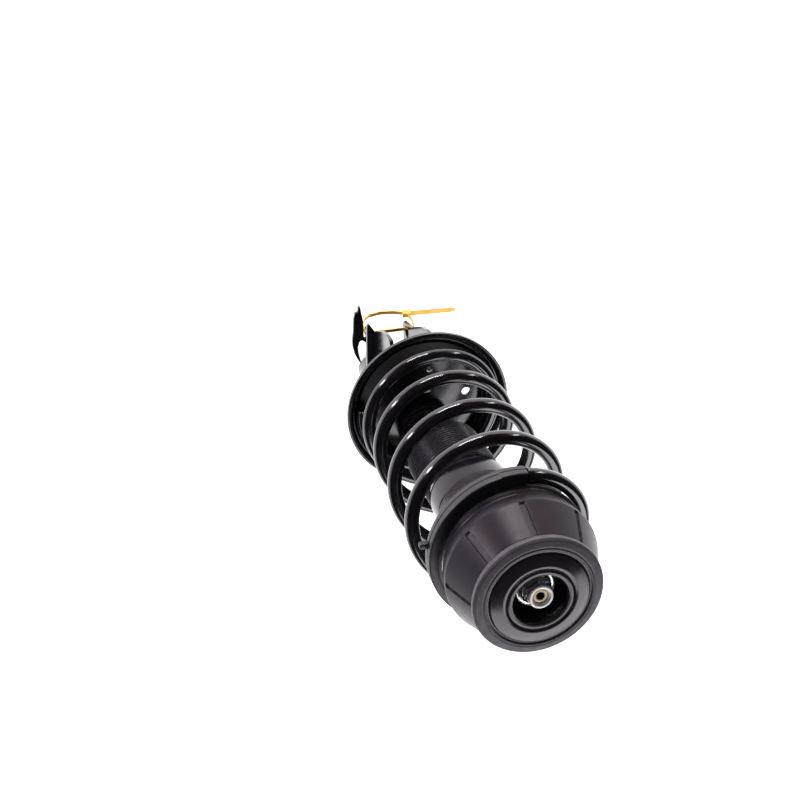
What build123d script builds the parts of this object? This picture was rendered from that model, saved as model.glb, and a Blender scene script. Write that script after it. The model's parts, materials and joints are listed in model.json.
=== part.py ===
"""Front suspension strut: twin-tube damper, offset coil spring, steering bearing and top mount.

Millimetres, +Z up. The origin is midway between the two knuckle bolt holes, the bolts run along X,
and the damper stands upright behind them. The spring, its seats and the top mount share a second
axis, tilted about X, that crosses the damper's axis at the pivot inside the top mount.
"""

from build123d import *

import os
from math import cos, radians, sin

os.makedirs("parts", exist_ok=True)

# Frame
strut_y = -48.5  # damper axis, behind the bolt holes
pivot_z = 421.5  # where the two axes cross
mount_tilt = radians(5)  # spring and mount axis, leaning back towards the top
pivot_height = 299.2  # pivot above the lower dish's rim, along the mount's axis

# Damper
tube_r = 25.0
tube_wall = 2.5
tube_top = 203.0
tube_foot = -52.0
bore_r = 15.0  # pressure cylinder
cylinder_wall = 1.5
rod_r = 10.0
thread_r = 7.0
running_gap = 0.05
free_gap = 0.3
guide_depth = 18.0
piston_top = 150.0
piston_depth = 16.0
rebound_depth = 20.0
cap_wall = 2.0

# Spring, turns counted down from the upper end
wire_r = 6.8
coil_turns = 4.74
coil_start = 80.4  # azimuth of the upper end, degrees
coil_r_top = 73.0
coil_r_foot = 67.0
pitch_open = 66.0
pitch_close = 41.0
pitch_change_turn = 2.94
pitch_end_turn = 4.34
coil_lean = 6.7
coil_lean_azimuth = 48.0
points_per_turn = 12

# Lower dish, heights along the mount's axis from its rim
dish_r = 83.6
dish_floor = -14.0
dish_wall = 3.0
isolator_depth = 3.0

# Upper seat
flange_under = 258.4
flange_wall = 2.2
flange_r = 68.0
funnel_top_r = 61.0
funnel_foot_r = 43.5
funnel_foot = -120.0  # below the pivot
funnel_wall = 2.5
lug_start = 81.4
lug_end = 99.0
ring_low = 247.0
ring_high = 261.2
ring_r = 76.5
ring_shift = 2.5
ring_shift_azimuth = 80.0
ring_step_r = 65.8  # thin part of the ring, past the wire's end
ring_open_arc = 156.0

# Boot, below the pivot
collar_r = 40.0
boot_top = -170.0
boot_foot = -245.5
boot_r = 38.0
boot_valley_r = 35.2
boot_inner_r = 33.6
boot_folds = 18

# Bearing
race_r = 54.0
ball_r = 3.0
ball_height = 265.8
ball_count = 30
ball_gap = 0.2

# Top mount
housing_wall = 3.6
housing_slots = 8
slot_depth = 1.4
slot_width = 5.0
slot_turn = 3.0
rubber_r = 27.0
ball_joint_r = 19.0
sleeve_half = 15.5
recess_r = 24.0
nut_flats = 22.0
nut_top = 36.1  # above the pivot

# Knuckle bracket
gap_half = 19.5
plate = 4.0
bolt_span = 56.0
bolt_hole_r = 7.1
bracket_top = 74.0
bracket_foot = -59.0

# Cable tie
band_width = 4.6
band_thick = 1.2
loop_half = 30.5
tie_slope = 25.3  # degrees that the loop's plane leans forward


def mount_vector(x, y, h):
    """Direction with its third part along the mount's axis."""
    return Vector(x, y * cos(mount_tilt) - h * sin(mount_tilt), y * sin(mount_tilt) + h * cos(mount_tilt))


pivot = Vector(0, strut_y, pivot_z)
dish_centre = pivot - mount_vector(0, 0, pivot_height)
mount_axis = Axis(dish_centre, mount_vector(0, 0, 1))
damper_axis = Axis((0, strut_y, 0), (0, 0, 1))
mount_profile = Plane(origin=dish_centre, x_dir=(1, 0, 0), z_dir=mount_vector(0, -1, 0))
damper_profile = Plane(origin=(0, strut_y, 0), x_dir=(1, 0, 0), z_dir=(0, -1, 0))
pivot_profile = Plane(origin=pivot, x_dir=(1, 0, 0), z_dir=(0, -1, 0))


def mount_plane(height, x=0, y=0):
    """Plane across the mount's axis, seen from above, with its origin at x, y."""
    centre = dish_centre + mount_vector(x, y, height)
    return Plane(origin=centre, x_dir=(1, 0, 0), z_dir=mount_vector(0, 0, 1))


def mount_meridian(azimuth):
    """Plane through the mount's axis; its x runs outwards at the azimuth, its y along the axis."""
    a = radians(azimuth)
    return Plane(
        origin=dish_centre,
        x_dir=mount_vector(cos(a), sin(a), 0),
        z_dir=mount_vector(sin(a), -cos(a), 0),
    )


def level(z):
    """Horizontal plane centred on the damper."""
    return Plane(origin=(0, strut_y, z))


def side_plane(x):
    """Plane across X; its x runs along +Y and its y along +Z."""
    return Plane(origin=(x, 0, 0), x_dir=(0, 1, 0), z_dir=(1, 0, 0))


def step_up(value, start, length):
    """Smooth step from 0 to 1."""
    u = min(max((value - start) / length, 0), 1)
    return u * u * (3 - 2 * u)


def save(part, name):
    part.label = name
    export_step(part, f"parts/{name}.step")


# ---------------------------------------------------------------- damper
with BuildPart() as damper_tube:
    with BuildSketch(damper_profile):
        with BuildLine():
            Polyline(
                (tube_r - tube_wall, tube_foot),
                (tube_r, tube_foot),
                (tube_r, tube_top),
                (tube_r - tube_wall, tube_top),
                close=True,
            )
        make_face()
    revolve(axis=damper_axis)
    chamfer(damper_tube.edges().group_by(Axis.Z)[-1].sort_by(SortBy.RADIUS)[-1:], 0.8)
save(damper_tube.part, "damper_tube")

base_r = tube_r - tube_wall
with BuildPart() as tube_base:
    with BuildSketch(damper_profile):
        with BuildLine():
            Polyline(
                (0, tube_foot + 5),
                (base_r - 7, tube_foot + 5),
                (base_r - 3, tube_foot + 1),
                (base_r, tube_foot + 1),
                (base_r, tube_foot + 9),
                (base_r - 2.5, tube_foot + 9),
                (base_r - 6, tube_foot + 8),
                (0, tube_foot + 8),
                close=True,
            )
        make_face()
    revolve(axis=damper_axis)
save(tube_base.part, "tube_base")

valve_low = tube_foot + 8
valve_high = valve_low + 12
with BuildPart() as base_valve:
    with BuildSketch(damper_profile):
        with BuildLine():
            Polyline(
                (0, valve_low + 2),
                (bore_r - 4, valve_low + 2),
                (bore_r - 2, valve_low),
                (bore_r + cylinder_wall, valve_low),
                (bore_r + cylinder_wall, valve_low + 4),
                (bore_r, valve_low + 4),
                (bore_r, valve_high),
                (4, valve_high),
                (4, valve_high + 4),
                (0, valve_high + 4),
                close=True,
            )
        make_face()
    revolve(axis=damper_axis)
    with BuildSketch(level(valve_low)):
        with PolarLocations(8, 6):
            Circle(1.2)
    extrude(amount=valve_high - valve_low, mode=Mode.SUBTRACT)
save(base_valve.part, "base_valve")

guide_low = tube_top - guide_depth - 3
with BuildPart() as pressure_cylinder:
    with BuildSketch(level(valve_low + 4)):
        Circle(bore_r + cylinder_wall)
        Circle(bore_r, mode=Mode.SUBTRACT)
    extrude(amount=guide_low + 6 - valve_low - 4)
save(pressure_cylinder.part, "pressure_cylinder")

with BuildPart() as rod_guide:
    with BuildSketch(damper_profile):
        with BuildLine():
            Polyline(
                (rod_r + running_gap, guide_low),
                (bore_r, guide_low),
                (bore_r, guide_low + 6),
                (base_r, guide_low + 6),
                (base_r, tube_top - 3),
                (rod_r + running_gap, tube_top - 3),
                close=True,
            )
        make_face()
    revolve(axis=damper_axis)
save(rod_guide.part, "rod_guide")

with BuildPart() as rod_seal:
    with BuildSketch(damper_profile):
        with BuildLine():
            Polyline(
                (rod_r + running_gap, tube_top - 0.4),
                (rod_r + running_gap, tube_top - 1.4),
                (rod_r + 1.5, tube_top - 3),
                (base_r, tube_top - 3),
                (base_r, tube_top),
                (rod_r + 2.5, tube_top),
                close=True,
            )
        make_face()
    revolve(axis=damper_axis)
save(rod_seal.part, "rod_seal")

with BuildPart() as bump_cap:
    with BuildSketch(damper_profile):
        with BuildLine():
            Polyline(
                (tube_r, tube_top - 18),
                (tube_r + cap_wall, tube_top - 18),
                (tube_r + cap_wall, tube_top + cap_wall + 1),
                (rod_r + 3, tube_top + cap_wall + 1),
                (rod_r + 3, tube_top),
                (tube_r, tube_top),
                close=True,
            )
        make_face()
    revolve(axis=damper_axis)
    fillet(bump_cap.edges().group_by(Axis.Z)[-1].sort_by(SortBy.RADIUS)[-1:], 1.8)
    with BuildSketch(level(tube_top + cap_wall + 1)):
        with PolarLocations(19, 4):
            Circle(2)
    extrude(amount=-cap_wall - 1, mode=Mode.SUBTRACT)
save(bump_cap.part, "bump_cap")

# ---------------------------------------------------------------- rod and piston
rod_end = nut_top - 2.6
with BuildPart() as piston_rod:
    with BuildSketch(damper_profile):
        with BuildLine():
            Polyline(
                (0, piston_top - piston_depth - 14),
                (6, piston_top - piston_depth - 14),
                (6, piston_top),
                (rod_r, piston_top),
                (rod_r, pivot_z - sleeve_half),
                (thread_r, pivot_z - sleeve_half),
                (thread_r, pivot_z + rod_end - 1),
                (thread_r - 1, pivot_z + rod_end),
                (0, pivot_z + rod_end),
                close=True,
            )
        make_face()
    revolve(axis=damper_axis)
    with BuildSketch(level(pivot_z + rod_end)):
        RegularPolygon(3, 6, major_radius=False)
    extrude(amount=-8, mode=Mode.SUBTRACT)
save(piston_rod.part, "piston_rod")

with BuildPart() as piston:
    with BuildSketch(level(piston_top - piston_depth)):
        Circle(bore_r - 1)
        Circle(6, mode=Mode.SUBTRACT)
        with PolarLocations(10, 6):
            Circle(1.5, mode=Mode.SUBTRACT)
    extrude(amount=piston_depth)
save(piston.part, "piston")

with BuildPart() as piston_band:
    with BuildSketch(level(piston_top - piston_depth + 3)):
        Circle(bore_r - running_gap)
        Circle(bore_r - 1, mode=Mode.SUBTRACT)
    extrude(amount=piston_depth - 6)
save(piston_band.part, "piston_band")

with BuildPart() as piston_nut:
    with BuildSketch(level(piston_top - piston_depth)):
        RegularPolygon(9, 6, major_radius=False)
        Circle(6, mode=Mode.SUBTRACT)
    extrude(amount=-10)
save(piston_nut.part, "piston_nut")

with BuildPart() as rebound_stop:
    with BuildSketch(level(guide_low - free_gap)):
        Circle(bore_r - 1)
        Circle(rod_r, mode=Mode.SUBTRACT)
    extrude(amount=-rebound_depth)
    fillet(rebound_stop.edges().filter_by(GeomType.CIRCLE).group_by(SortBy.RADIUS)[-1], 1.5)
save(rebound_stop.part, "rebound_stop")

with BuildPart() as inner_sleeve:
    with BuildSketch(pivot_profile):
        Circle(ball_joint_r)
        with Locations((ball_joint_r / 2 + thread_r / 2, 0)):
            Rectangle(ball_joint_r - thread_r, 2 * sleeve_half, mode=Mode.INTERSECT)
    revolve(axis=damper_axis)
save(inner_sleeve.part, "inner_sleeve")

washer_low = sleeve_half
washer_high = washer_low + 3
with BuildPart() as cup_washer:
    with BuildSketch(pivot_profile):
        with BuildLine():
            Polyline(
                (thread_r, washer_low),
                (15, washer_low),
                (17.5, washer_low + 1.6),
                (17.5, washer_high + 1.2),
                (16.4, washer_high + 1.2),
                (14.6, washer_high),
                (thread_r, washer_high),
                close=True,
            )
        make_face()
    revolve(axis=damper_axis)
save(cup_washer.part, "cup_washer")

collar_low = nut_top - 5.2
collar_out = 11.0
insert_r = 9.6
with BuildPart() as top_nut:
    with BuildSketch(pivot_profile):
        with BuildLine():
            Polyline(
                (thread_r, washer_high),
                (14.4, washer_high),
                (14.4, washer_high + 1.4),
                (11.5, washer_high + 3.4),
                (thread_r, washer_high + 3.4),
                close=True,
            )
        make_face()
    revolve(axis=damper_axis)
    with BuildSketch(level(pivot_z + washer_high + 1)):
        RegularPolygon(nut_flats / 2, 6, major_radius=False)
        Circle(thread_r, mode=Mode.SUBTRACT)
    extrude(amount=collar_low - washer_high - 1)
    with BuildSketch(pivot_profile):
        with BuildLine():
            Polyline(
                (thread_r, collar_low),
                (collar_out, collar_low),
                (collar_out, nut_top - 1),
                (collar_out - 1, nut_top),
                (insert_r - 0.7, nut_top),
                (insert_r - 0.7, nut_top - 0.6),
                (insert_r, nut_top - 1.2),
                (insert_r, nut_top - 4),
                (thread_r, nut_top - 4),
                close=True,
            )
        make_face()
    revolve(axis=damper_axis)
save(top_nut.part, "top_nut")

with BuildPart() as nut_insert:
    with BuildSketch(level(pivot_z + nut_top - 4)):
        Circle(insert_r)
        Circle(thread_r, mode=Mode.SUBTRACT)
    extrude(amount=2.8)
save(nut_insert.part, "nut_insert")


# ---------------------------------------------------------------- spring
def coil_radius(turn):
    return coil_r_top + (coil_r_foot - coil_r_top) * step_up(turn, 0.84, 2.4)


def coil_pitch(turn):
    """Drop per turn: open at the top, closer below, level on the dish."""
    change = step_up(turn, pitch_change_turn - 0.5, 1)
    end = step_up(turn, pitch_end_turn - 0.3, 0.6)
    return (pitch_open + (pitch_close - pitch_open) * change) * (1 - end)


def coil_heights(steps):
    """Heights of the wire's centre at even steps, from the upper end to the foot."""
    heights = [dish_floor + isolator_depth + wire_r]
    span = coil_turns / steps
    for k in range(steps, 0, -1):
        heights.append(heights[-1] + coil_pitch((k - 0.5) * span) * span)
    return heights[::-1]


def coil_point(turn, height):
    azimuth = radians(coil_start - 360 * turn)
    lean = coil_lean * cos(azimuth - radians(coil_lean_azimuth)) * (1 - step_up(turn, 3.44, 0.8))
    radius = coil_radius(turn)
    return dish_centre + mount_vector(radius * cos(azimuth), radius * sin(azimuth), height + lean)


coil_steps = round(coil_turns * points_per_turn)
coil_points = [
    coil_point(k * coil_turns / coil_steps, height) for k, height in enumerate(coil_heights(coil_steps))
]
with BuildPart() as coil_spring:
    with BuildLine():
        coil_path = Spline(*coil_points)
    with BuildSketch(Plane(origin=coil_path @ 0, z_dir=coil_path % 0)):
        Circle(wire_r)
    sweep(path=coil_path, is_frenet=True)
save(coil_spring.part, "coil_spring")

# ---------------------------------------------------------------- lower dish
with BuildPart() as lower_spring_seat:
    with BuildSketch(mount_profile):
        with BuildLine():
            FilletPolyline(
                (0, dish_floor - dish_wall / 2),
                (dish_r - 12, dish_floor - dish_wall / 2),
                (dish_r - 8.5, dish_floor + 5),
                (dish_r - 5.5, dish_floor + 5),
                (dish_r - 1.5, -dish_wall / 2),
                (dish_r + 1.5, -dish_wall / 2 - 4),
                radius=2.4,
            )
        trace(line_width=dish_wall)
    revolve(axis=mount_axis)
    with BuildSketch(mount_plane(0)):
        Circle(dish_r)
    extrude(amount=-40, mode=Mode.INTERSECT)
    with BuildSketch(level(dish_centre.Z + dish_floor - 12)):
        Circle(tube_r + dish_wall)
    extrude(amount=24)
    with BuildSketch(level(dish_centre.Z - 60)):
        Circle(tube_r)
    extrude(amount=120, mode=Mode.SUBTRACT)
    with BuildSketch(mount_plane(0, 0, 17)):
        SlotOverall(16, 11)
    with BuildSketch(mount_plane(0, 43, 7)):
        Circle(4.5)
    with BuildSketch(mount_plane(0, 4.5, 38)):
        Circle(3.5)
    extrude(amount=-40, mode=Mode.SUBTRACT)
save(lower_spring_seat.part, "lower_spring_seat")

with BuildPart() as lower_isolator:
    with BuildSketch(mount_profile):
        with BuildLine():
            Polyline(
                (59, dish_floor),
                (dish_r - 13.2, dish_floor),
                (dish_r - 13.2, dish_floor + isolator_depth),
                (59, dish_floor + isolator_depth),
                close=True,
            )
        make_face()
    revolve(axis=mount_axis)
    fillet(lower_isolator.edges(), 0.8)
save(lower_isolator.part, "lower_isolator")

# ---------------------------------------------------------------- upper seat
funnel_high = mount_plane(flange_under - 1)
funnel_low = level(pivot_z + funnel_foot)
with BuildPart() as upper_spring_seat:
    with BuildSketch(funnel_high):
        Circle(funnel_top_r)
    with BuildSketch(funnel_low):
        Circle(funnel_foot_r)
    loft()
    with BuildSketch(mount_plane(flange_under)):
        Circle(flange_r)
    extrude(amount=flange_wall)
    with BuildSketch(mount_plane(flange_under)):
        Circle(funnel_top_r)
    extrude(amount=-1)
    with BuildSketch(funnel_high):
        Circle(funnel_top_r - funnel_wall)
    with BuildSketch(funnel_low):
        Circle(funnel_foot_r - funnel_wall)
    loft(mode=Mode.SUBTRACT)
    with BuildSketch(mount_plane(flange_under - 2)):
        Circle(14 + rod_r / 2)
    extrude(amount=20, mode=Mode.SUBTRACT)
save(upper_spring_seat.part, "upper_spring_seat")

ring_centre_x = ring_shift * cos(radians(ring_shift_azimuth))
ring_centre_y = ring_shift * sin(radians(ring_shift_azimuth))
lug_r = coil_r_top + wire_r
with BuildPart() as upper_isolator:
    with BuildSketch(mount_plane(ring_low, ring_centre_x, ring_centre_y)):
        Circle(ring_r)
    extrude(amount=ring_high - ring_low)
    fillet(upper_isolator.edges().filter_by(GeomType.CIRCLE), 1.5)
    with BuildSketch(mount_meridian(lug_end)):
        with Locations((lug_r / 2, (ring_low + ring_high) / 2)):
            Rectangle(lug_r, ring_high - ring_low)
    revolve(axis=mount_axis, revolution_arc=lug_start - lug_end)
    with BuildSketch(mount_plane(ring_low)):
        Circle(funnel_top_r + 1.2)
    extrude(amount=ring_high - ring_low, mode=Mode.SUBTRACT)
    with BuildSketch(mount_plane(flange_under)):
        Circle(flange_r)
    extrude(amount=ring_high, mode=Mode.SUBTRACT)
    with BuildSketch(mount_meridian(lug_start)):
        with Locations((ring_step_r + wire_r * 2, (ring_low + ring_high) / 2)):
            Rectangle(wire_r * 4, ring_high - ring_low)
    revolve(axis=mount_axis, revolution_arc=-ring_open_arc, mode=Mode.SUBTRACT)
    with BuildSketch(mount_plane(ring_low, -79.5, 14)):
        Circle(3)
        with Locations((4, -0.6)):
            Rectangle(8, 6)
    extrude(amount=6)
save(upper_isolator.part, "upper_isolator")

boot_profile = pivot_profile
with BuildPart() as dust_boot:
    fold = (boot_top - boot_foot) / boot_folds
    with BuildSketch(boot_profile):
        with BuildLine():
            outline = [(collar_r, funnel_foot + 8), (collar_r, boot_top + 3), (boot_valley_r, boot_top)]
            for k in range(boot_folds):
                outline.append((boot_r, boot_top - (k + 0.5) * fold))
                outline.append((boot_valley_r, boot_top - (k + 1) * fold))
            outline.append((boot_inner_r, boot_foot))
            outline.append((boot_inner_r, boot_top))
            outline.append((collar_r - 2, boot_top + 4))
            outline.append((collar_r - 2, funnel_foot + 8))
            Polyline(*outline, close=True)
        make_face()
    revolve(axis=damper_axis)
save(dust_boot.part, "dust_boot")

stop_low = tube_top + cap_wall + 1 + 102 - pivot_z
with BuildPart() as bump_stop:
    with BuildSketch(boot_profile):
        with BuildLine():
            Polyline(
                (rod_r + 0.5, stop_low),
                (17, stop_low),
                (17, stop_low + 8),
                (14.5, stop_low + 13),
                (20.5, stop_low + 20),
                (20.5, stop_low + 32),
                (17, stop_low + 36),
                (22, stop_low + 42),
                (22, 0),
                (rod_r + 0.5, 0),
                close=True,
            )
        make_face()
    revolve(axis=damper_axis)
    split(bisect_by=funnel_high, keep=Keep.BOTTOM)
save(bump_stop.part, "bump_stop")

# ---------------------------------------------------------------- bearing
flange_top = flange_under + flange_wall
lower_race_high = ball_height - 0.8
with BuildPart() as lower_race:
    with BuildSketch(mount_profile):
        with BuildLine():
            Polyline(
                (45, flange_top),
                (65, flange_top),
                (65, flange_top + 1.4),
                (62, flange_top + 2.4),
                (60.5, lower_race_high - 1),
                (59, lower_race_high),
                (49, lower_race_high),
                (45, lower_race_high),
                close=True,
            )
        make_face()
        with Locations((race_r, ball_height)):
            Circle(ball_r + ball_gap, mode=Mode.SUBTRACT)
    revolve(axis=mount_axis)
save(lower_race.part, "lower_race")

with BuildPart() as ball_cage:
    with BuildSketch(mount_plane(ball_height - 0.4)):
        Circle(race_r + 4)
        Circle(race_r - 4, mode=Mode.SUBTRACT)
        with PolarLocations(race_r, ball_count):
            Circle(ball_r + 0.02, mode=Mode.SUBTRACT)
    extrude(amount=0.8)
save(ball_cage.part, "ball_cage")

with BuildPart() as bearing_balls:
    with Locations(mount_plane(ball_height)):
        with PolarLocations(race_r, ball_count):
            Sphere(ball_r)
save(bearing_balls.part, "bearing_balls")

upper_race_low = ball_height + 0.8
upper_race_high = ball_height + 5
with BuildPart() as upper_race:
    with BuildSketch(mount_profile):
        with BuildLine():
            Polyline(
                (47, upper_race_low),
                (59, upper_race_low),
                (59, upper_race_high),
                (47, upper_race_high),
                close=True,
            )
        make_face()
        with Locations((race_r, ball_height)):
            Circle(ball_r + ball_gap, mode=Mode.SUBTRACT)
    revolve(axis=mount_axis)
save(upper_race.part, "upper_race")

# ---------------------------------------------------------------- top mount
rim_low = 266.0
rim_r = 61.8
shoulder_r = 69.8
shoulder_height = 286.0
crown_r = 57.0
crown_height = 322.0
with BuildPart() as mount_housing:
    with BuildSketch(mount_profile):
        with BuildLine():
            Polyline(
                (rubber_r, upper_race_high),
                (59.2, upper_race_high),
                (59.2, rim_low),
                (rim_r, rim_low),
                (66.5, rim_low + 4),
                (68.6, rim_low + 9),
                (shoulder_r, shoulder_height),
                (crown_r, crown_height),
                (recess_r + 3, crown_height),
                (recess_r + 3, crown_height - housing_wall),
                (crown_r - housing_wall, crown_height - housing_wall),
                (shoulder_r - housing_wall - 0.6, shoulder_height),
                (64.4, upper_race_high + housing_wall),
                (rubber_r + 3, upper_race_high + housing_wall),
                (rubber_r + 3, crown_height - housing_wall - 4),
                (rubber_r, crown_height - housing_wall - 4),
                close=True,
            )
        make_face()
    revolve(axis=mount_axis)
    for k in range(housing_slots):
        with BuildSketch(mount_meridian(slot_turn + k * 360 / housing_slots)):
            with BuildLine():
                Polyline(
                    (shoulder_r - slot_depth, shoulder_height + 2),
                    (shoulder_r + 3, shoulder_height + 2),
                    (crown_r + 3, crown_height + 1),
                    (crown_r - slot_depth, crown_height + 1),
                    close=True,
                )
            make_face()
        extrude(amount=slot_width / 2, both=True, mode=Mode.SUBTRACT)
save(mount_housing.part, "mount_housing")

rubber_high = crown_height - housing_wall - 6
rubber_low = upper_race_high + 6
with BuildPart() as mount_rubber:
    with BuildSketch(mount_profile):
        with BuildLine():
            Polyline(
                (0, rubber_low),
                (rubber_r, rubber_low),
                (rubber_r, rubber_high),
                (0, rubber_high),
                close=True,
            )
        make_face()
    revolve(axis=mount_axis)
    with Locations(pivot):
        Sphere(ball_joint_r + free_gap, mode=Mode.SUBTRACT)
    with BuildSketch(mount_plane(rubber_low)):
        Circle(13.5)
    extrude(amount=30, mode=Mode.SUBTRACT)
    with BuildSketch(mount_plane(pivot_height)):
        Circle(15.2)
    extrude(amount=30, mode=Mode.SUBTRACT)
save(mount_rubber.part, "mount_rubber")

step_r = 47.5
with BuildPart() as top_disc:
    with BuildSketch(mount_profile):
        with BuildLine():
            Polyline(
                (recess_r, rubber_high + 2),
                (recess_r, 331.5),
                (recess_r + 1.5, 333.4),
                (recess_r + 4, 332),
                (36, 331.4),
                (42.5, 334.6),
                (45.5, 334.8),
                (step_r, 332),
                (step_r, crown_height),
                (recess_r + 3, crown_height),
                (recess_r + 3, rubber_high + 2),
                close=True,
            )
        make_face()
    revolve(axis=mount_axis)
save(top_disc.part, "top_disc")

with BuildPart() as disc_rim:
    with BuildSketch(mount_profile):
        with BuildLine():
            Polyline(
                (step_r, crown_height),
                (57.2, crown_height),
                (58.3, 325),
                (58.3, 328.6),
                (56.6, 330.4),
                (step_r, 331.8),
                close=True,
            )
        make_face()
    revolve(axis=mount_axis)
save(disc_rim.part, "disc_rim")

# ---------------------------------------------------------------- knuckle bracket
wrap_r = tube_r + plate
tip_y = 31.5
lip_thick = 4.0
lip_low = -45.0  # foot lip on the right flange
rib_low = -3.0  # stiffening rib on the left flange, between the bolts
relief_y = 0.9  # notch at the foot of each lower bolt hole, where the tie lies
relief_z = -36.3
relief_width = 5.6
relief_depth = 3.0
with BuildPart() as knuckle_bracket:
    with BuildSketch(level(bracket_foot)):
        Circle(wrap_r)
        with Locations((0, (tip_y - strut_y) / 2)):
            Rectangle(2 * (gap_half + plate), tip_y - strut_y)
        Circle(tube_r, mode=Mode.SUBTRACT)
        with Locations((0, tip_y - strut_y)):
            Rectangle(2 * gap_half, 2 * (tip_y - strut_y), mode=Mode.SUBTRACT)
    extrude(amount=bracket_top - bracket_foot)
    with BuildSketch(side_plane(0)):
        with BuildLine():
            FilletPolyline(
                (strut_y - wrap_r, bracket_foot),
                (strut_y, bracket_foot),
                (-21, -42),
                (7, -45),
                (11.5, -12),
                (21, 10),
                (28, 28),
                (tip_y, 46),
                (tip_y, 62),
                (4, bracket_top),
                (strut_y - wrap_r, bracket_top),
                radius=4.5,
                close=True,
            )
        make_face()
    extrude(amount=wrap_r, both=True, mode=Mode.INTERSECT)
    with BuildSketch(side_plane(0)):
        with GridLocations(0, bolt_span, 1, 2):
            Circle(bolt_hole_r)
        with Locations((relief_y, relief_z)):
            Rectangle(relief_width, relief_depth, rotation=tie_slope)
    extrude(amount=wrap_r, both=True, mode=Mode.SUBTRACT)
    with BuildSketch(Plane.XY.offset(rib_low)):
        with BuildLine():
            Polyline(
                (-gap_half - 1, -24),
                (-33, -22.5),
                (-32.5, 3),
                (-31.8, 24),
                (-29.5, 27),
                (-gap_half - plate, 17.5),
                (-gap_half - 1, 14),
                close=True,
            )
        make_face()
    extrude(amount=lip_thick)
    with BuildSketch(Plane.XY.offset(lip_low)):
        with BuildLine():
            Polyline(
                (gap_half + 1, -22),
                (29.3, -19),
                (29.4, -4),
                (25.5, 5),
                (gap_half + plate, 7),
                (gap_half + 1, 6.5),
                close=True,
            )
        make_face()
    extrude(amount=lip_thick)
save(knuckle_bracket.part, "knuckle_bracket")

# Hose bracket: a flat hook outside the left flange, its notch open towards the flange
hook_level = -43.0
hook_plate = 5.0
with BuildPart() as hose_bracket:
    with BuildSketch(Plane.XY.offset(hook_level)):
        with BuildLine():
            Polyline(
                (-gap_half - plate, -5),
                (-gap_half - plate, -11),
                (-28.5, -7.5),
                (-31, -9),
                (-33, -15),
                (-32.4, -22.5),
                (-30.4, -31),
                (-29.4, -36),
                (-33, -31),
                (-36.8, -23),
                (-39, -13),
                (-39, -6),
                (-37.6, 4),
                (-36.6, 19),
                (-35, 25),
                (-31.8, 25.8),
                (-31.4, 31),
                (-29, 32),
                (-28, 24.5),
                (-26.2, 15),
                (-26.2, -4.6),
                close=True,
            )
        make_face()
    extrude(amount=hook_plate)
save(hose_bracket.part, "hose_bracket")

# Cable tie: a band through both lower bolt holes, hanging in a loop round the flanges' feet
tie_plane = Plane(
    origin=(0, relief_y, relief_z),
    x_dir=(1, 0, 0),
    z_dir=(0, cos(radians(tie_slope)), sin(radians(tie_slope))),
)
head_x = 27.0
head_depth = 22.0
tail_length = 55.5
tail_half = 2.6
tail_plane = Plane(  # the tail is twisted flat
    origin=tie_plane.from_local_coords((head_x, head_depth, 0)),
    x_dir=(1, -0.02, 0.045),
    z_dir=(-0.032, 0.42, 0.9),
)
with BuildPart() as cable_tie:
    with BuildSketch(tie_plane):
        with BuildLine():
            FilletPolyline(
                (-24.8, 0),
                (loop_half, 0),
                (loop_half, 13),
                (head_x, head_depth),
                (13, 26.2),
                (-2, 27.6),
                (-15, 25.2),
                (-21.5, 20),
                (-24.8, 12.5),
                radius=3,
                close=True,
            )
        trace(line_width=band_thick)
    extrude(amount=band_width / 2, both=True)
    with BuildSketch(tie_plane):
        with Locations((head_x, head_depth)):
            Rectangle(9, 6.4, rotation=-8)
    extrude(amount=band_width / 2 + 0.6, both=True)
    with BuildSketch(tail_plane):
        with BuildLine():
            Polyline(
                (0, -tail_half),
                (tail_length - 6, -tail_half),
                (tail_length, -tail_half / 2),
                (tail_length, tail_half / 2),
                (tail_length - 6, tail_half),
                (0, tail_half),
                close=True,
            )
        make_face()
    extrude(amount=band_thick / 2, both=True)
save(cable_tie.part, "cable_tie")
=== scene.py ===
"""Looks for the strut assembly: smooth skins for the visible pieces, materials, light and camera."""

import json
import math

import bmesh
import bpy
from mathutils import Matrix, Vector


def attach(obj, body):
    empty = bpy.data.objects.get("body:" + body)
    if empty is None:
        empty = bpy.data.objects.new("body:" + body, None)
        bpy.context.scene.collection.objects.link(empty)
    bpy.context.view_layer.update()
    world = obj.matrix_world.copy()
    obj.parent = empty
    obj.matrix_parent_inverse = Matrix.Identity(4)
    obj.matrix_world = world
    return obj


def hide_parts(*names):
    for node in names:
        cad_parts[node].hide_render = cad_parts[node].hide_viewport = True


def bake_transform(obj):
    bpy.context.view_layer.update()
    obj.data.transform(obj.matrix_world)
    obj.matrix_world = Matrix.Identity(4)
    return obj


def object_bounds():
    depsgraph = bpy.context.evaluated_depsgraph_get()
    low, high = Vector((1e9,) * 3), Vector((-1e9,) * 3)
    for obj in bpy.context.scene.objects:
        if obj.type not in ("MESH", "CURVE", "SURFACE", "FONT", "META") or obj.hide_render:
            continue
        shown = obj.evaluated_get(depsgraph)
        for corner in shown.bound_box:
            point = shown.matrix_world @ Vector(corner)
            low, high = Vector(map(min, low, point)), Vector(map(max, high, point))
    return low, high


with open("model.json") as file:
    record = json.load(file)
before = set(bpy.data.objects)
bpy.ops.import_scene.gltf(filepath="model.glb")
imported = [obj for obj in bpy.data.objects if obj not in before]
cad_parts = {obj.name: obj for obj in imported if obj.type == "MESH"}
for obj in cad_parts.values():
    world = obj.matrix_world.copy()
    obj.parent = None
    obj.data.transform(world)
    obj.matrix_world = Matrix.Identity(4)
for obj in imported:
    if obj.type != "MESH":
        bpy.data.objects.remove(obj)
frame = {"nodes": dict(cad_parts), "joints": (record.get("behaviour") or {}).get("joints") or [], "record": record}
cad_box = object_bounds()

MM = 0.001
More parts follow.
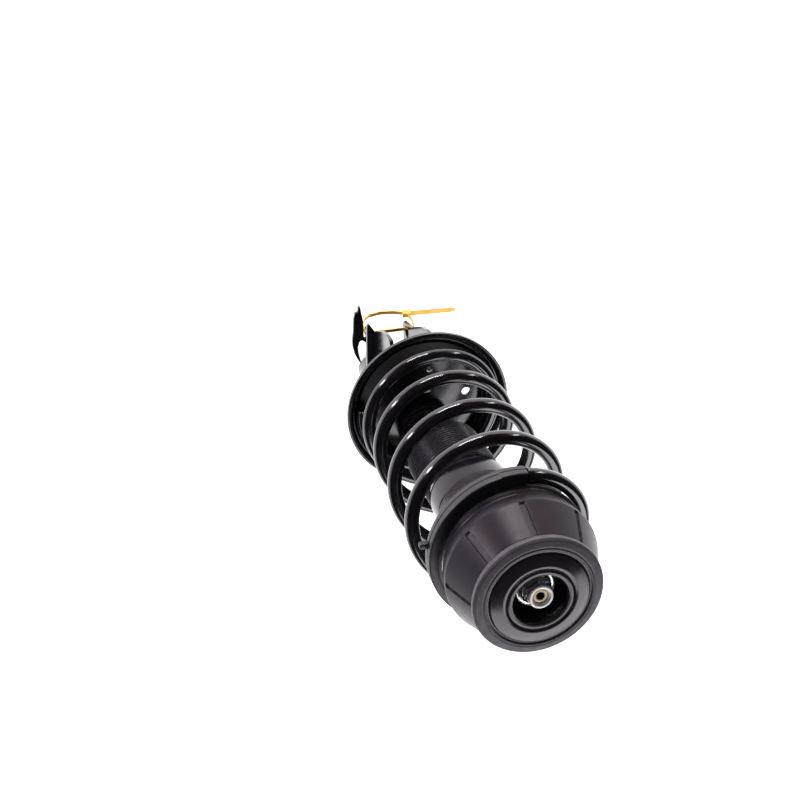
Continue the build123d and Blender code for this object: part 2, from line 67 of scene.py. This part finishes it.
TURN = 2 * math.pi
LATHE_STEPS = 192
ARC_SHARE = 0.49  # most of a side that one corner's arc may take

# ---------------------------------------------------------------- places, all from the frame
joints = {j["name"]: j for j in frame["joints"]}
pivot = Vector(joints["steer"]["pos_m"])
mount_up = Vector(joints["steer"]["axis"]).normalized()
damper_up = Vector((0, 0, 1))
rim_drop = 299.2 * MM  # dish rim below the pivot, along the mount's axis
dish_centre = pivot - mount_up * rim_drop


class Seat:
    """A turned frame: origin, axis, and two directions across it."""

    def __init__(self, origin, axis):
        self.origin = Vector(origin)
        self.axis = Vector(axis).normalized()
        self.across = Vector((1, 0, 0))
        self.back = self.axis.cross(self.across).normalized()

    def point(self, radius, angle, height):
        """Polar place in millimetres and radians."""
        return (
            self.origin
            + self.across * (radius * math.cos(angle) * MM)
            + self.back * (radius * math.sin(angle) * MM)
            + self.axis * (height * MM)
        )


mount = Seat(dish_centre, mount_up)  # heights above the dish's rim
damper = Seat(pivot, damper_up)  # heights above the pivot


# ---------------------------------------------------------------- mesh helpers
def smooth_step(value, start, length):
    """0 before start, 1 after start + length, and an even rise between them."""
    u = min(max((value - start) / length, 0), 1)
    return u * u * (3 - 2 * u)


def whole_turn(steps):
    """Even angles round one turn."""
    return [TURN * s / steps for s in range(steps)]


def add_mesh(name, vertices, faces, smooth=True):
    """An object in the scene, with its faces' normals turned outwards."""
    mesh = bpy.data.meshes.new(name)
    mesh.from_pydata([tuple(v) for v in vertices], [], faces)
    mesh.validate()
    tidy = bmesh.new()
    tidy.from_mesh(mesh)
    bmesh.ops.recalc_face_normals(tidy, faces=tidy.faces)
    tidy.to_mesh(mesh)
    tidy.free()
    for polygon in mesh.polygons:
        polygon.use_smooth = smooth
    piece = bpy.data.objects.new(name, mesh)
    bpy.context.scene.collection.objects.link(piece)
    return piece


def rounded(corners, steps):
    """Closed outline with arcs: each corner is (x, y, radius)."""
    points = []
    count = len(corners)
    for k, (x, y, radius) in enumerate(corners):
        here = Vector((x, y))
        before = Vector(corners[k - 1][:2]) - here
        after = Vector(corners[(k + 1) % count][:2]) - here
        if radius <= 0:
            points.append(here)
            continue
        half = before.angle(after) / 2
        reach = min(radius / math.tan(half), before.length * ARC_SHARE, after.length * ARC_SHARE)
        first = here + before.normalized() * reach
        last = here + after.normalized() * reach
        for s in range(steps + 1):
            t = s / steps
            points.append(first * (1 - t) ** 2 + here * 2 * t * (1 - t) + last * t ** 2)
    return points


def lathe(name, seat, outline, angles=None, shape=None):
    """Closed outline (radius, height) turned round the seat's axis. shape(r, angle, h) may move a point."""
    rings = []
    for angle in angles or whole_turn(LATHE_STEPS):
        ring = [shape(radius, angle, height) if shape else (radius, height) for radius, height in outline]
        rings.append([seat.point(radius, angle, height) for radius, height in ring])
    return closed_rings(name, rings)


def turned(name, seat, corners, steps, angles=None, shape=None):
    """A lathe piece from corners (radius, height, arc), each arc in so many steps."""
    return lathe(name, seat, [tuple(p) for p in rounded(corners, steps)], angles, shape)


def closed_rings(name, rings):
    """A ring-shaped solid from closed outlines of the same length, one after another round the turn."""
    n = len(rings[0])
    faces = []
    for s in range(len(rings)):
        a, b = s * n, (s + 1) % len(rings) * n
        for k in range(n):
            m = (k + 1) % n
            faces.append((a + k, a + m, b + m, b + k))
    return add_mesh(name, [v for ring in rings for v in ring], faces)


def tube(name, centres, radius, sides):
    """Round wire along a list of points, with closed ends."""
    vertices = []
    faces = []
    normal = Vector((0, 0, 1))
    for k, centre in enumerate(centres):
        ahead = centres[min(k + 1, len(centres) - 1)] - centres[max(k - 1, 0)]
        ahead.normalize()
        normal = (normal - ahead * normal.dot(ahead)).normalized()
        side = ahead.cross(normal)
        for s in range(sides):
            a = TURN * s / sides
            vertices.append(centre + (normal * math.cos(a) + side * math.sin(a)) * radius)
    for k in range(len(centres) - 1):
        for s in range(sides):
            m = (s + 1) % sides
            faces.append((k * sides + s, k * sides + m, (k + 1) * sides + m, (k + 1) * sides + s))
    faces.append(tuple(range(sides)))
    faces.append(tuple(reversed(range((len(centres) - 1) * sides, len(centres) * sides))))
    return add_mesh(name, vertices, faces)


def bevel(piece, width, segments, angle):
    """Rounds the piece's edges that turn by more than angle, in degrees."""
    modifier = piece.modifiers.new("edges", "BEVEL")
    modifier.width = width * MM
    modifier.segments = segments
    modifier.limit_method = "ANGLE"
    modifier.angle_limit = math.radians(angle)
    return piece


def edged_copy(node_name, width):
    """A copy of the CAD node with flat faces joined up and its edges rounded."""
    sharp_angle = 30
    tidy = bmesh.new()
    tidy.from_mesh(frame["nodes"][node_name].data)
    bmesh.ops.remove_doubles(tidy, verts=tidy.verts, dist=2e-6)
    bmesh.ops.dissolve_limit(tidy, angle_limit=math.radians(1), verts=tidy.verts, edges=tidy.edges)
    mesh = bpy.data.meshes.new(node_name + "_edged")
    tidy.to_mesh(mesh)
    tidy.free()
    piece = bpy.data.objects.new(node_name + "_edged", mesh)
    bpy.context.scene.collection.objects.link(piece)
    for polygon in mesh.polygons:
        polygon.use_smooth = True
    mesh.set_sharp_from_angle(angle=math.radians(sharp_angle))
    return bevel(piece, width, 2, sharp_angle)


# ---------------------------------------------------------------- materials
class Nodes:
    """Short hand for one material's node tree."""

    def __init__(self, name):
        self.material = bpy.data.materials.new(name)
        self.material.use_nodes = True
        self.tree = self.material.node_tree
        self.shader = self.tree.nodes["Principled BSDF"]
        self.place = self.add("ShaderNodeTexCoord").outputs["Object"]

    def add(self, kind):
        return self.tree.nodes.new(kind)

    def link(self, a, b):
        self.tree.links.new(a, b)

    def noise(self, scale, detail):
        node = self.add("ShaderNodeTexNoise")
        node.inputs["Scale"].default_value = scale
        node.inputs["Detail"].default_value = detail
        node.inputs["Roughness"].default_value = 0.55
        self.link(self.place, node.inputs["Vector"])
        return node.outputs["Fac"]

    def ramp(self, source, low, high):
        """Colours the noise from low to high."""
        node = self.add("ShaderNodeValToRGB")
        for stop, position, color in zip(node.color_ramp.elements, (0.35, 0.65), (low, high)):
            stop.position = position
            stop.color = (*color, 1)
        self.link(source, node.inputs["Fac"])
        return node.outputs["Color"]

    def spread(self, source, low, high):
        """Brings the noise to the range from low to high."""
        node = self.add("ShaderNodeMapRange")
        node.inputs["From Min"].default_value = 0.3
        node.inputs["From Max"].default_value = 0.7
        node.inputs["To Min"].default_value = low
        node.inputs["To Max"].default_value = high
        self.link(source, node.inputs["Value"])
        return node.outputs["Result"]

    def bump(self, source, strength, depth, below=None):
        node = self.add("ShaderNodeBump")
        node.inputs["Strength"].default_value = strength
        node.inputs["Distance"].default_value = depth
        self.link(source, node.inputs["Height"])
        if below:
            self.link(below, node.inputs["Normal"])
        return node.outputs["Normal"]


def surface(name, low, high, rough, grain, metallic=0.0, coat=0.0, coat_rough=0.1, level=0.5):
    """A finish with uneven colour and gloss. grain is ((scale, strength, depth), ...) for its bumps."""
    color_scale, gloss_scale = 60, 186
    n = Nodes(name)
    n.link(n.ramp(n.noise(color_scale, 5), low, high), n.shader.inputs["Base Color"])
    n.link(n.spread(n.noise(gloss_scale, 6), *rough), n.shader.inputs["Roughness"])
    n.shader.inputs["Metallic"].default_value = metallic
    n.shader.inputs["Coat Weight"].default_value = coat
    n.shader.inputs["Coat Roughness"].default_value = coat_rough
    n.shader.inputs["Specular IOR Level"].default_value = level
    normal = None
    for scale, strength, depth in grain:
        normal = n.bump(n.noise(scale, 3), strength, depth, normal)
    n.link(normal, n.shader.inputs["Normal"])
    return n.material


MATERIALS = {
    "black_paint": surface("black_paint", (0.0025, 0.002, 0.003), (0.006, 0.005, 0.007), (0.15, 0.24),
                           ((700, 0.04, 0.0003), (90, 0.05, 0.001)), coat=0.3, coat_rough=0.08),
    "spring_coat": surface("spring_coat", (0.002, 0.002, 0.0025), (0.006, 0.005, 0.007), (0.12, 0.20),
                           ((900, 0.05, 0.0002), (120, 0.05, 0.0008)), coat=0.4, coat_rough=0.06),
    "disc_paint": surface("disc_paint", (0.012, 0.010, 0.013), (0.018, 0.015, 0.019), (0.15, 0.20),
                          ((1400, 0.05, 0.0002),), level=0.4),
    "rubber": surface("rubber", (0.004, 0.0035, 0.0045), (0.010, 0.009, 0.011), (0.36, 0.52),
                      ((1300, 0.12, 0.0003),)),
    "mount_skin": surface("mount_skin", (0.006, 0.0045, 0.008), (0.010, 0.0075, 0.012), (0.30, 0.38),
                          ((1100, 0.06, 0.0003), (80, 0.04, 0.001)), level=0.17),
    "boot_rubber": surface("boot_rubber", (0.004, 0.0035, 0.005), (0.008, 0.007, 0.010), (0.24, 0.34),
                           ((900, 0.05, 0.0003),), level=0.4),
    "bump_foam": surface("bump_foam", (0.50, 0.42, 0.26), (0.66, 0.57, 0.38), (0.75, 0.9),
                         ((1500, 0.4, 0.0006), (300, 0.3, 0.001))),
    "zinc": surface("zinc", (0.62, 0.62, 0.61), (0.74, 0.74, 0.72), (0.14, 0.24),
                    ((200, 0.02, 0.0002),), metallic=1.0),
    "plain_steel": surface("plain_steel", (0.36, 0.36, 0.37), (0.5, 0.5, 0.5), (0.25, 0.4),
                           ((900, 0.08, 0.0003),), metallic=1.0),
    "rod_chrome": surface("rod_chrome", (0.66, 0.66, 0.67), (0.78, 0.78, 0.78), (0.08, 0.16),
                          ((1600, 0.04, 0.0001),), metallic=1.0),
    "nylon": surface("nylon", (0.80, 0.76, 0.62), (0.92, 0.89, 0.78), (0.35, 0.5),
                     ((900, 0.1, 0.0003),)),
    "tie_nylon": surface("tie_nylon", (0.92, 0.50, 0.06), (1.0, 0.66, 0.16), (0.28, 0.4),
                         ((900, 0.08, 0.0003),)),
}
GRAIN = surface("rim_grain", (0.032, 0.028, 0.033), (0.056, 0.050, 0.058), (0.44, 0.60),
                ((700, 0.35, 0.0008), (1500, 0.15, 0.0004)))
# painted highlight: the collar is zinc like the rest of the nut, but this copy is paler and less metallic so that
# the collar reads white
ZINC_PAINTED_HIGHLIGHT = surface("zinc_painted_highlight", (0.80, 0.80, 0.78), (0.90, 0.90, 0.88), (0.28, 0.38),
                    ((500, 0.03, 0.0002),), metallic=0.45)
COLLAR = surface("collar_gloss", (0.003, 0.0025, 0.004), (0.006, 0.005, 0.008), (0.06, 0.12),
                 ((120, 0.02, 0.0006),), level=0.2)
YELLOW_ZINC = surface("yellow_zinc", (0.72, 0.60, 0.36), (0.85, 0.76, 0.52), (0.25, 0.38),
                      ((900, 0.08, 0.0003),), metallic=0.3)
# painted shade: a dark brown colour on the hex socket's faces stands for the shade inside the recess
SOCKET_SHADE = surface("socket_painted_shade", (0.020, 0.012, 0.008), (0.050, 0.026, 0.018), (0.30, 0.45),
                 ((900, 0.08, 0.0003),))
PAN = surface("pan_paint", (0.020, 0.016, 0.020), (0.034, 0.029, 0.034), (0.30, 0.40),
              ((900, 0.04, 0.0002),))

slot_of = {s["node"]: s["material_slot"] for s in frame["record"]["subparts"]}
for name, node in frame["nodes"].items():
    node.data.materials.clear()
    node.data.materials.append(MATERIALS[slot_of[name]])
    for polygon in node.data.polygons:
        polygon.use_smooth = True
    node.data.set_sharp_from_angle(angle=math.radians(35))


def dress(piece, body, slot, *nodes, material=None):
    """Gives the piece a material, its slot's one unless another is given, hides the CAD nodes that it stands for,
    and attaches it to a body if one is named.
    """
    piece.data.materials.append(material or MATERIALS[slot])
    if nodes:
        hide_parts(*nodes)
    if body:
        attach(piece, body)
    return piece


def stretch_between(piece, slot, node):
    """Gives the piece its slot's material, hides the CAD node, and bakes its place into the mesh; it is attached
    to no body.
    """
    dress(piece, None, slot, node)
    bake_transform(piece)


# ---------------------------------------------------------------- spring
wire_r = 6.75
coil_turns = 4.74
coil_start = 80.4  # degrees, azimuth of the upper end
coil_foot = -4.2  # height of the wire's centre on the dish
wide_pitch = 66
pitch_drop = 25  # the lower turns are closer together
coil_r = 73
coil_shrink = 6  # the lower turns are narrower
coil_lean = 6.7  # the middle turns stand off to one side
rings_per_turn = 84
wire_sides = 32
coil_rings = round(coil_turns * rings_per_turn)
turn_step = coil_turns / coil_rings


def coil_pitch(turn):
    """Rise per turn, with turns counted from the upper end. The last one lies on the dish."""
    change = smooth_step(turn, 2.44, 1.0)
    return (wide_pitch - pitch_drop * change) * (1 - smooth_step(turn, 4.04, 0.6))


heights = [coil_foot]
for k in range(coil_rings, 0, -1):
    heights.append(heights[-1] + coil_pitch((k - 0.5) * turn_step) * turn_step)
heights.reverse()
coil_centres = []
for k, height in enumerate(heights):
    turn = k * turn_step
    azimuth = math.radians(coil_start - 360 * turn)
    lean = coil_lean * math.cos(azimuth - math.radians(48)) * (1 - smooth_step(turn, 3.44, 0.8))
    radius = coil_r - coil_shrink * smooth_step(turn, 0.84, 2.4)
    coil_centres.append(mount.point(radius, azimuth, height + lean))
spring = tube("spring", coil_centres, wire_r * MM, wire_sides)
stretch_between(bevel(spring, 1.0, 3, 60), "spring_coat", "coil_spring")

# ---------------------------------------------------------------- boot
boot_top = -170
boot_foot = -245.5
boot_folds = 18
fold = (boot_top - boot_foot) / boot_folds
fold_steps = 8
fold_root_r = 35.4
fold_depth = 2.5
boot_collar_r = 39.3
collar_points = 25
collar_swell = 0.65
collar_tuck = 1.6  # the collar draws in over its last part
tuck_from = 0.82
outer = [(38.2, -112.5), (boot_collar_r, -113.2)]
for k in range(collar_points):
    t = k / (collar_points - 1)
    swell = collar_swell * math.sin(math.pi * t)
    outer.append((boot_collar_r + swell - collar_tuck * max(0, t - tuck_from) / 0.18, -114 - 54 * t))
for k in range(boot_folds * fold_steps + 1):
    wave = 0.5 - 0.5 * math.cos(TURN * k / fold_steps)
    outer.append((fold_root_r + fold_depth * wave ** 0.7, boot_top - k * fold / fold_steps))
inner = [(33.8, boot_foot), (33.8, boot_top), (36.4, -165), (38.0, -150), (38.0, -112.5)]
boot_outline = outer + inner
boot = lathe("boot", damper, boot_outline)
for radius, height in boot_outline:
    reach = min(max((height - boot_foot) / (boot_top - boot_foot), 0), 1)
stretch_between(boot, "boot_rubber", "dust_boot")
boot.data.materials.append(COLLAR)
for index, polygon in enumerate(boot.data.polygons):
    polygon.material_index = int(index % len(boot_outline) < collar_points)

# ---------------------------------------------------------------- upper seat
flange_under = 258.4
flange_top = 260.6
funnel_foot = -120.0
funnel_top = 256.4
funnel_top_r = 61
funnel_foot_r = 43.5
pan_wall = 2.5
bore_r = 19.0


def seat_ring(angle):
    """Closed outline of the pan at one azimuth: flange, funnel outside, foot, funnel inside, pan."""
    flange_edge = [(67.4, flange_top), (68.0, 260.0), (68.0, 259.0), (67.4, flange_under)]
    flange_edge += [(64.5, flange_under), (62.6, 258.0), (61.4, 257.4)]
    pan_floor = [(56.0, flange_under), (bore_r + 0.4, flange_under), (bore_r, 259.0)]
    pan_floor += [(bore_r, 260.0), (bore_r + 0.4, flange_top)]
    ring = [mount.point(r, angle, h) for r, h in flange_edge]
    downwards = [s / 8 for s in range(9)]
    for steps, shift in ((downwards, 0.0), (downwards[::-1], pan_wall)):
        top = mount.point(funnel_top_r - shift, angle, funnel_top)
        foot = damper.point(funnel_foot_r - shift, angle, funnel_foot)
        ring += [top.lerp(foot, t) for t in steps]
    return ring + [mount.point(r, angle, h) for r, h in pan_floor]


pan = closed_rings("spring_pan", [seat_ring(angle) for angle in whole_turn(240)])
dress(pan, "upper_seat", "black_paint", "upper_spring_seat", material=PAN)

ring_low = 247.0
ring_high = 261.2
ring_inner_r = 62.3
ring_r = 76.5
ring_shift = 2.5  # the ring lies off the mount's axis by this much, at azimuth 80
lug_r = 79.8
thin_r = 65.8
seat_face = flange_under - 0.1


def isolator_reach(degrees):
    """Outer radius and top of the isolator: lug, thin part past the wire's end, then the shifted ring."""
    a = math.radians(degrees - 80)
    plain = ring_shift * math.cos(a) + math.sqrt(ring_r ** 2 - (ring_shift * math.sin(a)) ** 2)
    lug = smooth_step(degrees, 81.0, 0.8) * (1 - smooth_step(degrees, 98.4, 1.2))
    thin = smooth_step(degrees, -75.5, 1.2) * (1 - smooth_step(degrees, 81.0, 0.8))
    reach = plain + (lug_r - plain) * lug + (thin_r - plain) * thin
    return reach, ring_high + (seat_face - ring_high) * thin


isolator_angles = []  # every 1.5 degrees, and every 0.25 degrees where the outline steps
for k in range(-180 * 4, 180 * 4):
    degrees = k / 4
    fine = any(abs(degrees - edge) < 2.2 for edge in (-75, 81.4, 99))
    if fine or k % 6 == 0:
        isolator_angles.append(degrees)
rings = []
for degrees in isolator_angles:
    reach, top = isolator_reach(degrees)
    step = min(68.1, reach - 1.9)
    outline = [(ring_inner_r, 247.7), (62.9, 247.1), (reach - 1.9, ring_low)]
    outline += [(reach - 0.9, 247.3), (reach - 0.25, 248.0)]
    outline += [(reach, 249.0), (reach, 253.2), (reach - 0.5, 253.6), (reach - 0.5, 254.2), (reach, 254.6)]
    outline += [(reach, top - 1.9), (reach - 0.25, top - 0.9), (reach - 0.9, top - 0.25), (reach - 1.8, top)]
    outline += [(step, top), (step, seat_face), (ring_inner_r, seat_face)]
    rings.append([mount.point(r, math.radians(degrees), h) for r, h in outline])
isolator = closed_rings("isolator_ring", rings)
isolator.data.set_sharp_from_angle(angle=math.radians(50))
dress(isolator, "upper_seat", "rubber", "upper_isolator")

tab_x, tab_y = -79.0, 13.9
tab_centre = mount.point(math.hypot(tab_x, tab_y), math.atan2(tab_y, tab_x), 0)
tab_outline = rounded([(-3.4, -2.9, 2.6), (4.5, -2.9, 0.4), (4.5, 2.9, 0.4), (-3.4, 2.9, 2.6)], 6)
tab_layers = ((247.1, 0.7), (247.6, 0.2), (248.4, 0), (251.8, 0), (252.6, 0.2), (253.0, 0.7))
tab_vertices = []
for lift, shrink in tab_layers:
    for p in tab_outline:
        q = p * (1 - shrink / 4)
        aside = mount.across * (q.x * MM) + mount.back * (q.y * MM)
        tab_vertices.append(tab_centre + aside + mount.axis * (lift * MM))
n = len(tab_outline)
last = len(tab_layers) - 1
tab_faces = [tuple(range(n)), tuple(range(last * n, (last + 1) * n))]
for row in range(last):
    low, high = row * n, (row + 1) * n
    for k in range(n):
        m = (k + 1) % n
        tab_faces.append((low + k, low + m, high + m, high + k))
dress(add_mesh("isolator_tab", tab_vertices, tab_faces), "upper_seat", "rubber", "upper_isolator")

# ---------------------------------------------------------------- top mount
slot_count = 8
slot_turn = math.radians(3)
slot_half = 2.5
slot_depth = 1.4
slot_edge = 0.5
slot_foot = 288.0
slot_gap = TURN / slot_count
inward, downward = 0.94, 0.33  # across the cone's wall


def slotted(radius, angle, height):
    """The cone's outer skin, pressed in along each slot."""
    if radius < 54 or height < slot_foot - 1:
        return radius, height
    off = (angle - slot_turn + slot_gap / 2) % slot_gap - slot_gap / 2
    across = 1 - smooth_step(abs(off) * radius, slot_half - slot_edge / 2, slot_edge)
    along = smooth_step(height, slot_foot - slot_edge / 2, slot_edge)
    depth = slot_depth * across * along
    return radius - depth * inward, height - depth * downward


fine_half = math.radians(3.2)  # half the stretch round a slot that has close steps
fine_steps, coarse_steps = 48, 22
rest = slot_gap - 2 * fine_half
cone_angles = []
for k in range(slot_count):
    middle = slot_turn + k * slot_gap
    cone_angles += [middle - fine_half + 2 * fine_half * s / fine_steps for s in range(fine_steps)]
    cone_angles += [middle + fine_half + rest * s / coarse_steps for s in range(coarse_steps)]
cone_corners = [(59.3, 270.9, 0), (59.3, 266.1, 0.5), (62.2, 266.1, 0.8), (66.0, 269.2, 1.2), (67.3, 271.4, 0.7)]
cone_corners += [(66.6, 272.7, 0.4), (68.0, 274.2, 0.8), (69.7, 286.0, 6.0)]
cone_top = [(56.9, 321.9, 1.6), (27.2, 321.9, 0.5), (27.2, 318.4, 0), (53.4, 318.4, 1), (65.4, 286, 4)]
cone_top += [(64.3, 274.7, 1), (30.1, 274.7, 1), (30.1, 314.4, 0.5), (27.1, 314.4, 0.5), (27.1, 270.9, 0)]
side_low, side_high = (68.9, 288.2), (57.2, 321.1)
side_steps = 60
side = []
for k in range(1, side_steps):
    t = k / side_steps
    side.append((*(low + (high - low) * t for low, high in zip(side_low, side_high)), 0))
cone = turned("mount_cone", mount, cone_corners + side + cone_top, 6, cone_angles, slotted)
cone.data.set_sharp_from_angle(angle=math.radians(50))
dress(cone, "top_mount", "mount_skin", "mount_housing")

# disc: the grained margin, the dome outside radius 30, and the recess with its lip
rim_corners = [(47.5, 322.0, 0), (57.2, 322.0, 0.6), (58.3, 324.6, 1.2), (58.3, 328.2, 1.6), (56.4, 330.4, 2.2)]
rim_corners += [(51.0, 331.3, 2), (49.6, 331.0, 0.4), (48.6, 331.7, 0.4), (47.5, 331.7, 0)]
margin = turned("disc_margin", mount, rim_corners, 6)
dress(margin, "top_mount", "mount_skin", "disc_rim", material=GRAIN)

crest_corners = [(30.0, 330.0, 0), (30.0, 334.75, 0), (34.0, 334.7, 5), (39.0, 333.75, 9), (43.8, 332.4, 2)]
crest_corners += [(45.4, 331.0, 0.8), (46.4, 331.1, 0.5), (47.0, 331.6, 0.3), (47.45, 331.7, 0.1)]
crest_corners += [(47.45, 322.1, 0), (30.0, 322.1, 0)]
crest = turned("crest_ring", mount, crest_corners, 10)
dress(crest, "top_mount", "disc_paint", "top_disc")
disc_corners = [(24.0, 314.5, 0.3), (24.0, 333.2, 1.6), (25.4, 334.65, 1.2), (27.5, 334.8, 4), (30.0, 334.75, 0)]
disc_corners += [(30.0, 322.1, 0), (27.0, 322.1, 0), (27.0, 314.5, 0)]
disc = turned("disc_centre", mount, disc_corners, 8)
dress(disc, "top_mount", "disc_paint", "top_disc")

# ---------------------------------------------------------------- nut
nut_half = 11.0  # half of the width across flats
nut_bore_r = 7.05
hex_top = 30.9
nut_corners = [(nut_bore_r, 18.5, 0), (14.3, 18.5, 0.2), (14.4, 19.8, 0.4), (12.2, 21.6, 1.2)]
nut_corners += [(nut_bore_r, 21.9, 0)]
flange = turned("nut_flange", damper, nut_corners, 5)
dress(flange, "rod", "zinc", "top_nut")


def flat_reach(angle, half_width):
    """Radius of a hexagon at an angle."""
    off = (angle + TURN / 12) % (TURN / 6) - TURN / 12
    return half_width / math.cos(off)


def hexed(radius, angle, height):
    """Turns the outer wall into six flats, with the corners chamfered at the upper end."""
    if radius < 10.9:
        return radius, height
    return min(flat_reach(angle, nut_half), radius), height


hex_outline = [(nut_bore_r, 21.0), (12.7, 21.0), (12.7, 22.4), (12.7, 25.5), (12.7, 28.6), (12.4, 29.6)]
hex_outline += [(11.6, 30.5), (11.0, hex_top), (nut_bore_r, hex_top)]
body_of_nut = lathe("nut_hexagon", damper, hex_outline, whole_turn(180), hexed)
body_of_nut.data.set_sharp_from_angle(angle=math.radians(24))
dress(body_of_nut, "rod", "zinc", "top_nut")
collar_corners = [(9.7, 30.8, 0), (10.9, 30.8, 0.2), (10.6, 31.5, 0.3), (11.0, 32.2, 0.3), (11.0, 35.2, 0.8)]
collar_corners += [(10.0, 36.05, 0.4), (8.5, 36.05, 0.3), (8.3, 35.5, 0.2), (9.7, 34.9, 0.2)]
collar = turned("nut_collar", damper, collar_corners, 4)
# the collar wears the paler zinc copy, a painted highlight
dress(collar, "rod", "zinc", "top_nut", material=ZINC_PAINTED_HIGHLIGHT)
insert_corners = [(nut_bore_r, 31.0, 0), (9.6, 31.0, 0), (9.6, 34.7, 0.5), (8.2, 34.9, 0.6), (7.4, 34.3, 0.3)]
insert_corners += [(nut_bore_r, 34.1, 0.2)]
insert = turned("lock_ring", damper, insert_corners, 4)
dress(insert, "rod", "nylon", "nut_insert")

# ---------------------------------------------------------------- rod, in two pieces that meet at tip_low
rod_top = 33.5
tip_low = 24.0
thread_r = 7.0
core_r = 0.02  # a rod's outline stops just short of the axis
rod_corners = [(core_r, -287.5, 0), (5.8, -287.5, 0.4), (6.0, -271.5, 0.3), (9.95, -271.5, 0.3)]
rod_corners += [(10.0, -15.6, 0.4), (thread_r, -15.5, 0.2), (thread_r, tip_low, 0), (core_r, tip_low, 0)]
rod = turned("rod_bar", damper, rod_corners, 3, whole_turn(96))
rod.data.set_sharp_from_angle(angle=math.radians(40))
dress(rod, "rod", "rod_chrome", "piston_rod")
socket_half = 3.0  # half of the socket's width across flats
socket_r = 3.46  # the outline's radius where the wall turns into flats
tip_outline = [(thread_r, tip_low), (thread_r, rod_top - 1.0), (6.7, rod_top - 0.5), (6.1, rod_top - 0.1)]
tip_outline += [(5.6, rod_top), (4.3, rod_top), (3.7, rod_top - 0.5), (socket_r, rod_top - 1.2)]
tip_outline += [(socket_r, rod_top - 7.5), (core_r, rod_top - 8.2), (core_r, tip_low)]


def socketed(radius, angle, height):
    """Turns the bore's wall into six flats."""
    return (flat_reach(angle, socket_half) if radius == socket_r else radius), height


tip = lathe("rod_tip", damper, tip_outline, whole_turn(144), socketed)
tip.data.set_sharp_from_angle(angle=math.radians(35))
dress(tip, "rod", "rod_chrome", "piston_rod", material=YELLOW_ZINC)
# second slot: the dark painted shade for the socket's faces, which the loop below picks out
tip.data.materials.append(SOCKET_SHADE)
for polygon in tip.data.polygons:
    middle = polygon.center - pivot
    polygon.material_index = int(math.hypot(middle.x, middle.y) < 3.6 * MM)  # the socket's faces

# ---------------------------------------------------------------- pressings with rounded edges
bodies = frame["record"]["behaviour"]["bodies"]
edge_widths = {"knuckle_bracket": 0.7, "hose_bracket": 0.7, "cup_washer": 0.25, "cable_tie": 0.2}
for node_name, width in edge_widths.items():
    owner = next(body for body, names in bodies.items() if node_name in names)
    dress(edged_copy(node_name, width), owner, slot_of[node_name], node_name)

# ---------------------------------------------------------------- camera and light
camera_data = bpy.data.cameras.new("camera")
camera_data.lens = 74.25
camera_data.sensor_width = 36
camera_data.clip_start = 0.05
camera_data.clip_end = 20
camera_from_pivot = Vector((-0.41117, 0.72515, 1.15179))
camera = bpy.data.objects.new("camera", camera_data)
bpy.context.scene.collection.objects.link(camera)
forward = Vector((0.23129, -0.41540, -0.87974)).normalized()
camera_up = Vector((0.13018, 0.90935, -0.39515))
right = forward.cross(camera_up).normalized()
camera_up = right.cross(forward)
facing = Matrix((right, camera_up, -forward)).transposed().to_4x4()
camera.matrix_world = Matrix.Translation(pivot + camera_from_pivot) @ facing
bpy.context.scene.camera = camera


centre = (cad_box[0] + cad_box[1]) / 2


def area(name, place, width, height, power, color=(1, 1, 1)):
    """A soft light of so many metres and watts that faces the object."""
    data = bpy.data.lights.new(name, "AREA")
    data.shape = "RECTANGLE"
    data.size = width
    data.size_y = height
    data.energy = power
    data.color = color
    lamp = bpy.data.objects.new(name, data)
    lamp.location = place
    lamp.rotation_mode = "QUATERNION"
    lamp.rotation_quaternion = (centre - place).to_track_quat("-Z", "Y")
    bpy.context.scene.collection.objects.link(lamp)


def studio(sideways, upwards, nearer):
    """A place round the object, in metres across, up and towards the camera."""
    return centre + right * sideways + camera_up * upwards - forward * nearer


area("key", studio(-0.1, 1.35, 0.75), 0.75, 0.06, 17, (1.0, 0.95, 0.97))
area("left_strip", studio(-1.3, 0.55, 0.9), 0.2, 0.7, 14, (0.92, 0.88, 1.0))
area("right_strip", studio(1.2, 0.9, 0.45), 0.12, 0.5, 3)
area("disc_light", studio(0.5, -1.27, 0.22), 1.7, 0.85, 20, (0.98, 0.95, 1.0))
area("warm_left", centre + Vector((-1.15, 0.95, -0.02)), 0.8, 0.1, 1.6, (1.0, 0.42, 0.34))
area("warm_right", centre + Vector((0.8, 1.25, 0.0)), 0.6, 0.1, 1.0, (1.0, 0.42, 0.34))

# the object is lit by a dim surround, and seen against white
world = bpy.data.worlds.new("world")
world.use_nodes = True
surround = world.node_tree.nodes["Background"]
surround.inputs["Color"].default_value = (0.045, 0.04, 0.045, 1)
backdrop = world.node_tree.nodes.new("ShaderNodeBackground")
backdrop.inputs["Color"].default_value = (1, 1, 1, 1)
ray = world.node_tree.nodes.new("ShaderNodeLightPath")
either = world.node_tree.nodes.new("ShaderNodeMixShader")
for source, target in (
    (ray.outputs["Is Camera Ray"], either.inputs[0]),
    (surround.outputs[0], either.inputs[1]),
    (backdrop.outputs[0], either.inputs[2]),
    (either.outputs[0], world.node_tree.nodes["World Output"].inputs["Surface"]),
):
    world.node_tree.links.new(source, target)
bpy.context.scene.world = world
bpy.context.scene.view_settings.view_transform = "Standard"

floor_half = 6.0
floor_gap = 2 * MM
floor_z = cad_box[0].z - floor_gap
floor = add_mesh(
    "floor",
    [(x * floor_half, y * floor_half, floor_z) for x, y in ((-1, -1), (1, -1), (1, 1), (-1, 1))],
    [(0, 1, 2, 3)],
    smooth=False,
)
paper = Nodes("paper")
paper.shader.inputs["Base Color"].default_value = (0.95, 0.95, 0.95, 1)
paper.shader.inputs["Roughness"].default_value = 0.9
paper.shader.inputs["Emission Color"].default_value = (1, 1, 1, 1)
paper.shader.inputs["Emission Strength"].default_value = 1.15
floor.data.materials.append(paper.material)
